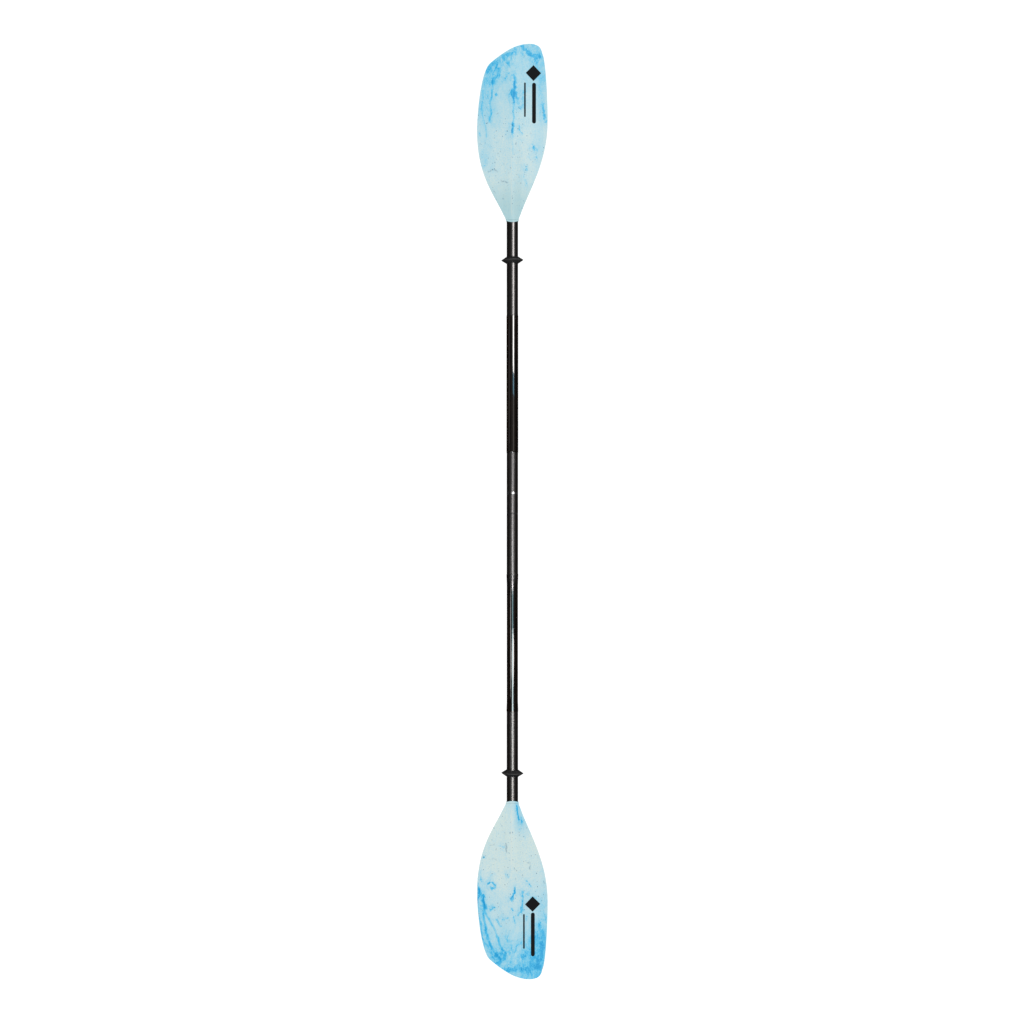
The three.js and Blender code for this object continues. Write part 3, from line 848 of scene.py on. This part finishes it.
# The marbling: torn swirls of blue, thin unbroken streaks of it, and dark flecks. Each is a width,
# a strength and a line of (distance from the collar, distance towards the long edge). The front of
# one blade has the pattern that is on the back of the other.
UPPER_BLUE = [
    (5.4, 0.85, (432, 26), (421, 38), (418, 50), (413, 66)),
    (5, 0.7, (421, 50), (408, 55), (392, 60), (381, 58)),
    (8, 0.3, (404, 68), (375, 74), (350, 76)),
    (6, 0.8, (409, -22), (414, -8)),
    (5, 0.6, (409, -20), (396, -11)),
    (8, 0.5, (434, 5), (405, -2), (389, -6)),
    (6, 0.7, (377, -64), (391, -50), (402, -31)),
    (5, 0.75, (386, -32), (366, -40), (346, -50)),
    (4, 0.7, (356, -17), (366, -9)),
    (6, 0.8, (362, 7), (333, 6), (320, 3), (309, 8), (306, 15)),
    (4, 0.8, (325, 4), (317, 3)),
    (4.4, 0.85, (243, 2), (219, 0)),
    (6, 0.55, (287, 18), (294, 28), (322, 25)),
    (2.6, 0.8, (245, 18), (226, 23)),
    (2.6, 0.7, (208, 23)),
    (4, 0.85, (302, 75), (282, 79), (267, 80), (256, 84)),
    (5, 0.7, (192, 56), (181, 64)),
    (4, 0.7, (162, 60)),
    (2.4, 0.6, (164, 41)),
    (4, 0.7, (139, 34), (131, 38)),
    (4, 0.4, (112, 31), (88, 37)),
    (2, 0.45, (363, -52), (313, -52), (300, -55), (274, -51), (254, -55)),
    (3, 0.8, (317, -43), (321, -37)),
    (7, 0.25, (176, -66), (152, -68)),
    (2.2, 0.8, (142, -70)),
    (2.6, 0.6, (226, -83), (214, -84)),
    (3, 0.5, (398, -42), (372, -58)),
]
UPPER_STREAKS = [
    (2.3, 0.85, (350, 5), (308, 4), (260, 3), (240, 1), (222, 0)),
    (1.7, 0.5, (222, 0), (170, 0)),
    (2.0, 0.62, (390, -37), (372, -46), (350, -50), (332, -49), (313, -53), (300, -55), (274, -51),
     (254, -57)),
    (1.7, 0.55, (330, -72), (300, -75), (275, -74), (260, -71), (238, -66), (217, -64)),
]
UPPER_DARK = [
    (1.8, 0.7, (125, -57), (130, -47), (124, -36)),
    (1.7, 0.8, (105, -27), (102, -16), (99, -9)),
    (1.7, 0.6, (80, -47), (74, -42)),
    (2, 0.8, (60, -23)),
    (1.8, 0.8, (95, 13)),
    (1.8, 0.8, (135, -2)),
    (1.8, 0.6, (104, 6)),
    (1.9, 0.8, (91, -9)),
    (1.6, 0.6, (201, 12), (196, 9)),
    (1.7, 0.5, (236, 11)),
    (1.7, 0.5, (160, -1)),
    (1.7, 0.6, (180, 19)),
    (1.8, 0.7, (408, 27)),
]
LOWER_BLUE = [
    (2, 0.9, (10, 12), (34, 13), (47, 16)),
    (2.4, 0.7, (40, 20), (53, 24)),
    (4, 0.4, (56, 22), (72, 21)),
    (3, 0.5, (112, -29), (115, -19)),
    (2.6, 0.9, (143, -73), (141, -70)),
    (3.6, 0.9, (208, -62), (205, -52), (213, -43), (224, -46), (221, -55)),
    (5, 0.5, (190, -80), (203, -78)),
    (2.6, 0.5, (191, -53), (187, -48)),
    (3.6, 0.5, (184, -18), (187, -10)),
    (3.4, 0.95, (216, 7), (232, 6), (246, -2)),
    (3, 0.65, (204, 36), (214, 44)),
    (3, 0.85, (222, -84), (240, -86), (258, -88)),
    (4.6, 1.0, (239, -75), (254, -72), (270, -67)),
    (3, 0.8, (272, -57), (267, -44)),
    (3.4, 0.6, (345, -73), (372, -60), (392, -44)),
    (3, 0.65, (294, -40), (314, -28)),
    (4, 0.55, (298, -22), (296, -14)),
    (6, 0.9, (382, -38), (381, -20), (395, -22), (405, -38)),
    (7, 0.85, (417, -12), (413, 18), (424, 46), (412, 66)),
    (6, 0.75, (386, 28), (404, 21)),
    (7, 0.68, (310, 66), (335, 72), (367, 72), (398, 63)),
    (8, 0.7, (380, 54), (412, 44)),
    (9, 0.2, (250, 82), (300, 82)),
    (4, 0.7, (232, 26), (250, 28), (269, 25), (285, 15)),
    (3, 0.6, (266, -1), (278, 1)),
    (3, 0.65, (291, 6), (302, 7)),
    (4, 0.45, (291, 34), (301, 31)),
    (3, 0.6, (352, 20), (361, 13), (373, 6)),
    (5, 0.5, (228, 44), (241, 38), (250, 60)),
    (5, 0.5, (345, 55), (330, 60)),
    (8, 0.45, (340, -10), (360, 0), (376, -2)),
]
LOWER_STREAKS = [
    (2, 0.35, (10, 12), (34, 13), (47, 16)),
    (3.2, 1.0, (210, -86), (243, -75), (271, -68), (300, -70), (329, -65), (357, -55), (378, -43),
     (392, -28)),
    (2.6, 0.7, (234, -88), (268, -86), (308, -80), (345, -74)),
    (2.8, 0.95, (280, -66), (292, -61), (316, -48), (341, -37), (366, -25), (376, -16)),
    (1.8, 0.7, (216, 7), (232, 6), (246, -2)),
]
LOWER_DARK = [
    (1.8, 0.8, (115, -53), (110, -46)),
    (1.8, 0.8, (120, -39)),
    (1.8, 0.9, (109, -14), (117, -13), (128, -13)),
    (1.8, 0.7, (149, -53), (148, -40)),
    (2.1, 0.9, (142, -72)),
    (1.8, 0.7, (78, -5)),
    (1.7, 0.6, (64, -26)),
    (1.8, 0.9, (205, 77), (209, 81)),
    (1.8, 0.7, (155, 38), (169, 44)),
    (1.8, 0.7, (173, 8)),
    (1.8, 0.7, (197, 9)),
    (1.8, 0.6, (190, 28)),
    (1.7, 0.6, (176, -34)),
]
UPPER_PATTERN = {"blue": UPPER_BLUE, "streaks": UPPER_STREAKS, "dark": UPPER_DARK}
LOWER_PATTERN = {"blue": LOWER_BLUE, "streaks": LOWER_STREAKS, "dark": LOWER_DARK}


def tone_of(s, y, lower):
    """The slow change from pale at the neck to blue at the tip, for y towards the long edge."""
    if lower:
        depth = 0.05 + 0.19 * smoothstep(s, 150, 290) + 0.24 * smoothstep(s, 270, 425)
        depth += 0.1 * smoothstep(np.abs(y + 8), 22, 70) * smoothstep(s, 90, 150)
        depth += 0.1 * smoothstep(np.abs(y), 40, 86) * smoothstep(s, 180, 330)
        depth += 0.1 * (1 - smoothstep(s, 6, 45))
        depth += 0.1 * smoothstep(y, 0, 30) * smoothstep(s, 300, 360)
        neck_stain = (1 - smoothstep(s, 50, 105)) * smoothstep(y, -16, 2)
        depth += (0.12 + 0.14 * smoothstep(y, 0, 14)) * neck_stain
        return depth
    depth = 0.16 + 0.08 * smoothstep(s, 200, 290) + 0.17 * smoothstep(s, 270, 420)
    depth += 0.13 * (1 - smoothstep(s, 20, 105))
    depth += 0.13 * smoothstep(-y, 30, 75) * smoothstep(s, 110, 165)
    depth += 0.06 * smoothstep(-y, 0, 45) * smoothstep(s, 230, 300)
    depth += 0.09 * smoothstep(y, 35, 70) * smoothstep(s, 60, 120)
    return depth


def blade_values(s, y, angles, groove, lower):
    """What the blade's material reads at each point of its rings."""
    turn, rim = np.sin(angles), np.abs(np.cos(angles))
    face_up = smoothstep(turn, -0.3, 0.3)
    front, back = (LOWER_PATTERN, UPPER_PATTERN) if lower else (UPPER_PATTERN, LOWER_PATTERN)

    def both_faces(on_front, on_back):
        return on_front * face_up + on_back * (1 - face_up)

    front_line, front_wash = laid(s, y, front["blue"], 11)
    back_line, back_wash = laid(s, y, back["blue"], 12)
    front_dark, back_dark = laid(s, y, front["dark"], 13)[0], laid(s, y, back["dark"], 14)[0]
    front_streak = laid(s, y, front["streaks"], 15, tearing=0.4)[0]
    back_streak = laid(s, y, back["streaks"], 16, tearing=0.4)[0]
    # A painted highlight just beside the spine's ridge, on the front face by the neck.
    ridge_highlight = np.exp(-((y + 2) / 1.3) ** 2) * smoothstep(s, 8, 30) * (1 - smoothstep(s, 120, 300))
    return {
        "blue": both_faces(front_line, back_line),
        "wash": both_faces(front_wash, back_wash),
        "streak": both_faces(front_streak, back_streak),
        "dark": both_faces(front_dark, back_dark),
        "tone": both_faces(tone_of(s, y, lower), tone_of(s, y, not lower)),
        "grey": (0.0 if lower else 0.6) * (1 - smoothstep(s, 30, 130)),
        "specks": smoothstep(s, 12, 60) * (1 - 0.6 * smoothstep(s, 250, 330)),
        # The rim: scuffed, and also where the pale edge highlight is painted.
        "wear": smoothstep(rim, 0.972, 0.9995) * smoothstep(s, 10, 60),
        "ridge_highlight": both_faces(ridge_highlight, 0),
        # Painted shade along the collar's groove.
        "groove_shade": groove,
        "front": (turn > 0.05).astype(float),
    }


def socket_rings(mouth, angles):
    """The socket: its closed end, its wall, and the rounded mouth that meets the collar."""
    round_ring = np.stack([np.zeros(RING_POINTS), np.cos(angles), np.sin(angles)], axis=1)

    def ring(radius, x):
        return round_ring * radius + np.stack([x, 0 * x, 0 * x], axis=1)

    deep, mouth_x = np.full(RING_POINTS, COLLAR_X + SOCKET_DEPTH), mouth[:, 0]
    return [
        ring(SOCKET_RADIUS * 0.5, deep), ring(SOCKET_RADIUS, deep), ring(SOCKET_RADIUS, deep - 1),
        ring(SOCKET_RADIUS, mouth_x + 0.6), ring(14.3, mouth_x + 0.12),
        ring(14.5, mouth_x), ring(14.95, mouth_x), ring(15.17, mouth_x + 0.12),
    ]


def joined(rings, first_end, last_end):
    """Joins rings into a closed surface, with a fan of triangles to a point at each end."""
    faces = []
    for row in range(len(rings) - 1):
        a, b = row * RING_POINTS, (row + 1) * RING_POINTS
        for k in range(RING_POINTS):
            n = (k + 1) % RING_POINTS
            faces.append([a + k, b + k, b + n, a + n])
    count = len(rings) * RING_POINTS
    last = count - RING_POINTS
    for k in range(RING_POINTS):
        n = (k + 1) % RING_POINTS
        faces.append([count, k, n])
        faces.append([count + 1, last + n, last + k])
    return np.concatenate([*rings, [first_end], [last_end]]), faces


def blade(side):
    """side is 1 for the upper blade and -1 for its mirror image."""
    angles = np.arange(RING_POINTS) * 2 * math.pi / RING_POINTS
    stations = blade_rows()
    rings, s, y = zip(*(blade_ring(at, angles) for at in stations))
    socket = socket_rings(rings[0], angles)
    rounded_collar = rings[0] + (0.4, 0, 0)
    rings = [*socket, rounded_collar, *rings[1:]]
    points, faces = joined(rings, (COLLAR_X + SOCKET_DEPTH, 0, 0), rings[-1].mean(axis=0))

    inside = [np.zeros(RING_POINTS)] * len(socket)
    s, y = np.concatenate([*inside, *s]), np.concatenate([*inside, *y])
    groove = [0.0] * len(socket) + [float(GROOVE_FROM < at < GROOVE_TO) for at in stations]
    groove = np.repeat(groove, RING_POINTS)
    values = blade_values(s, y, np.tile(angles, len(rings)), groove, side < 0)
    for key, data in values.items():
        values[key] = np.concatenate([data, [0, data[-RING_POINTS:].mean()]])
    return facing((points, faces, values), side, 0)


# --- the paddle -------------------------------------------------------------------------------

tube, grip, steel = tube_material(), grip_material(), steel_material()
drip_rubber, seam_rubber = rubber_material("drip_rubber", 0.45), rubber_material("seam_rubber", 0.15)
ferrule_plastic, foam = ferrule_material(), foam_material()
# The plain printed marks: a diamond as its centre and half width, and bars as centre, half sizes
# and corner radius.
upper_marks = {
    "diamond": ((1081, -52), 19),
    "bars": [((1008.5, -53.5), (49.5, 4.8), 4.8), ((1016, -31), (42, 2), 2)],
}
lower_marks = {
    "diamond": ((-970, -50), 19),
    "bars": [((-1043.5, -50.5), (52.5, 4.8), 4.8), ((-1035.5, -28.5), (42, 2), 2)],
}
marbled_upper = blade_material("marbled_upper", upper_marks)
marbled_lower = blade_material("marbled_lower", lower_marks)
BLADE_SHARP_ANGLE = 50
piece("blade_upper", "female_half", blade(1), marbled_upper, BLADE_SHARP_ANGLE)
piece("blade_lower", "male_half", blade(-1), marbled_lower, BLADE_SHARP_ANGLE)

near_button = list(np.arange(BUTTON_X - 7, BUTTON_X + 7.5, 1))
outer_holes = [hole(OUTER_HOLE_RADIUS, BUTTON_TURN + turn) for turn in (0, FEATHER, -FEATHER)]
tube_gap = SEAM_RING_HALF + SEAM_GAP
upper_rows = tube_rows(SEAM_X + tube_gap, TUBE_END, TUBE_BORE, TUBE_RADIUS, near_button)
piece("shaft_upper", "female_half", raised(turned(upper_rows)), tube, cutters=outer_holes)

oval_stations = list(SEAM_X - np.concatenate([
    np.linspace(GRIP_TO, GRIP_TO - OVAL_BLEND, 16), np.linspace(GRIP_FROM + OVAL_BLEND, GRIP_FROM, 16),
]))
lower_rows = tube_rows(-TUBE_END, SEAM_X - tube_gap, TUBE_BORE, TUBE_RADIUS, oval_stations)
piece("shaft_lower", "male_half", raised(pressed(turned(lower_rows))), tube)

# The lower sleeve is rubbed where a hand turns the joint.
upper_sleeve = turned(sleeve_rows(SEAM_X + GRIP_FROM, SEAM_X + GRIP_TO))
lower_sleeve = pressed(turned(sleeve_rows(SEAM_X - GRIP_TO, SEAM_X - GRIP_FROM, rubbed=0.45)))
piece("grip_sleeve_upper", "female_half", raised(upper_sleeve), grip)
piece("grip_sleeve_lower", "male_half", raised(lower_sleeve), grip)

seam_rows = tube_rows(
    SEAM_X - SEAM_RING_HALF, SEAM_X + SEAM_RING_HALF, FERRULE_RADIUS + FIT_GAP, TUBE_RADIUS - 0.1,
    fillet=0.5,
)
piece("seam_ring", "seam_ring", raised(turned(seam_rows)), seam_rubber)

ferrule_rows = tube_rows(FERRULE_FROM, FERRULE_TO, FERRULE_BORE, FERRULE_RADIUS, near_button, 0.35)
ferrule_tube = raised(turned(ferrule_rows))
ferrule_hole = [hole(FERRULE_HOLE_RADIUS, BUTTON_TURN)]
piece("ferrule", "male_half", ferrule_tube, ferrule_plastic, cutters=ferrule_hole)

end_cap = turned(cap_rows(FERRULE_BORE, FERRULE_RADIUS - FIT_GAP, FERRULE_CAP_PLUG), closed=False)
piece("ferrule_end_cap", "male_half", facing(end_cap, 1, FERRULE_TO), ferrule_plastic)
tube_cap = turned(cap_rows(TUBE_BORE, TUBE_RADIUS - FIT_GAP, TUBE_CAP_PLUG), closed=False)
piece("tube_cap_upper", "female_half", facing(tube_cap, 1, TUBE_END), ferrule_plastic)
piece("tube_cap_lower", "male_half", facing(tube_cap, -1, -TUBE_END), ferrule_plastic)

plug = turned(foam_rows(), closed=False)
piece("foam_plug_upper", "female_half", facing(plug, 1, SEAM_X + FOAM_FROM_SEAM), foam)
piece("foam_plug_lower", "male_half", facing(plug, 1, SEAM_X - FOAM_FROM_SEAM), foam)

button = stood(turned(button_rows(), BUTTON_SIDES, closed=False), BUTTON_X, BUTTON_TURN)
piece("snap_button", "snap_button", button, steel)
# In the paddle the spring's foot and closed end stay with the lower half, and the leaf under the button
# goes down with it.
# Here the spring is fixed in place and attached to neither; the points given for its start and end, on a
# line that leans forward so that the closed end is before its start, are not read.
flex = {"start": spring_point(LEAF_REACH, -9.6), "end": spring_point(9.456, 7.42)}
piece("button_spring", ("male_half", "snap_button"), spring(), steel, blend=flex)

drip = turned(drip_rows())
upper_ring, lower_ring = tilted(drip, DRIP_TILT, DRIP_UPPER_X), tilted(drip, -DRIP_TILT, DRIP_LOWER_X)
piece("drip_ring_upper", "drip_ring_upper", upper_ring, drip_rubber)
piece("drip_ring_lower", "drip_ring_lower", lower_ring, drip_rubber)

# --- stage ------------------------------------------------------------------------------------

# The floor glows a little, so that it is nearly white and has no shadows. A feathered blade swings
# 61 mm below the level that the paddle lies on, so the floor is lower.
FLOOR_HALF = 12
FLOOR_Z = -0.065
floor_mesh = bpy.data.meshes.new("floor")
corners = [(x * FLOOR_HALF, y * FLOOR_HALF, FLOOR_Z) for x, y in ((-1, -1), (1, -1), (1, 1), (-1, 1))]
floor_mesh.from_pydata(corners, [], [(0, 1, 2, 3)])
floor = bpy.data.objects.new("floor", floor_mesh)
bpy.context.scene.collection.objects.link(floor)
white = Maker("white_floor")
white.set(Base_Color=(0.3, 0.3, 0.3, 1), Roughness=1.0, Specular_IOR_Level=0.0)
white.set(Emission_Color=(1, 1, 1, 1), Emission_Strength=0.86)
floor_mesh.materials.append(white.material)
floor.visible_glossy = False

world = bpy.data.worlds.new("soft_white")
bpy.context.scene.world = world
world.use_nodes = True
world.node_tree.nodes["Background"].inputs["Color"].default_value = (1, 1, 1, 1)
world.node_tree.nodes["Background"].inputs["Strength"].default_value = 1.0
world.cycles_visibility.glossy = False


SOFTBOX_HEIGHT = 2.8


def softbox(name, x, y, size, radiance, colour=(1, 1, 1), shape="RECTANGLE", z=SOFTBOX_HEIGHT):
    """A flat light that faces down and shows only as a reflection. Size and place are in metres."""
    light = bpy.data.lights.new(name, "AREA")
    light.shape = shape
    light.size, light.size_y = size
    light.energy = radiance * math.pi * size[0] * size[1]
    light.color = colour
    ob = bpy.data.objects.new(name, light)
    bpy.context.scene.collection.objects.link(ob)
    ob.location = (x, y, z)
    ob.visible_diffuse = False
    ob.visible_camera = False


# The grips' and tubes' highlights come from a row of boxes along the shaft.
softbox("softbox_upper", 1.65, -1.12, (2.2, 1.35), 14)
softbox("softbox_upper_rim", 0.5, -1.12, (0.08, 1.3), 3, (0.35, 0.75, 1))
softbox("softbox_upper_faint", 0.34, -1.12, (0.23, 1.3), 0.5, (1, 0.93, 0.87))
softbox("softbox_lower_far", -1.05, -0.32, (0.22, 1.3), 26, (1, 0.95, 0.91))
softbox("softbox_lower", -0.6975, -0.32, (0.485, 1.3), 9.5, (0.76, 0.95, 1))
softbox("softbox_lower_wide", -0.575, -0.58, (0.23, 2.5), 10.5, (1, 0.94, 0.92), "ELLIPSE")
softbox("softbox_middle", -0.365, -0.25, (0.24, 1.3), 3.3, (0.5, 0.88, 1))
softbox("softbox_centre", -0.1625, -0.12, (0.125, 1.1), 35, (1, 0.94, 0.97))
softbox("side_light_lower", -0.54, 2.4, (0.5, 0.8), 3.6, shape="ELLIPSE")
softbox("side_light_upper", 0.76, 6.5, (0.8, 2.6), 0.7)
softbox("overhead_fill", 0, -1.5, (10, 8), 0.09, z=3.6)

# The camera looks straight down, with the upper blade at the top. It is a millimetre off the
# paddle's middle, as the photograph is.
scene = bpy.context.scene
CAMERA_X, CAMERA_Y = -0.0012, 0.0009
CAMERA_DISTANCE = 5.0
FRAME_WIDTH = 2.519
SENSOR_WIDTH = 36
camera_data = bpy.data.cameras.new("camera")
camera_data.sensor_width = SENSOR_WIDTH
camera_data.lens = SENSOR_WIDTH * CAMERA_DISTANCE / FRAME_WIDTH
camera_data.clip_end = 60
camera = bpy.data.objects.new("camera", camera_data)
scene.collection.objects.link(camera)
camera.location = (CAMERA_X, CAMERA_Y, CAMERA_DISTANCE + AXIS_HEIGHT / 1000)
camera.rotation_euler = (0, 0, -math.pi / 2)
scene.camera = camera
scene.view_settings.view_transform = "Standard"
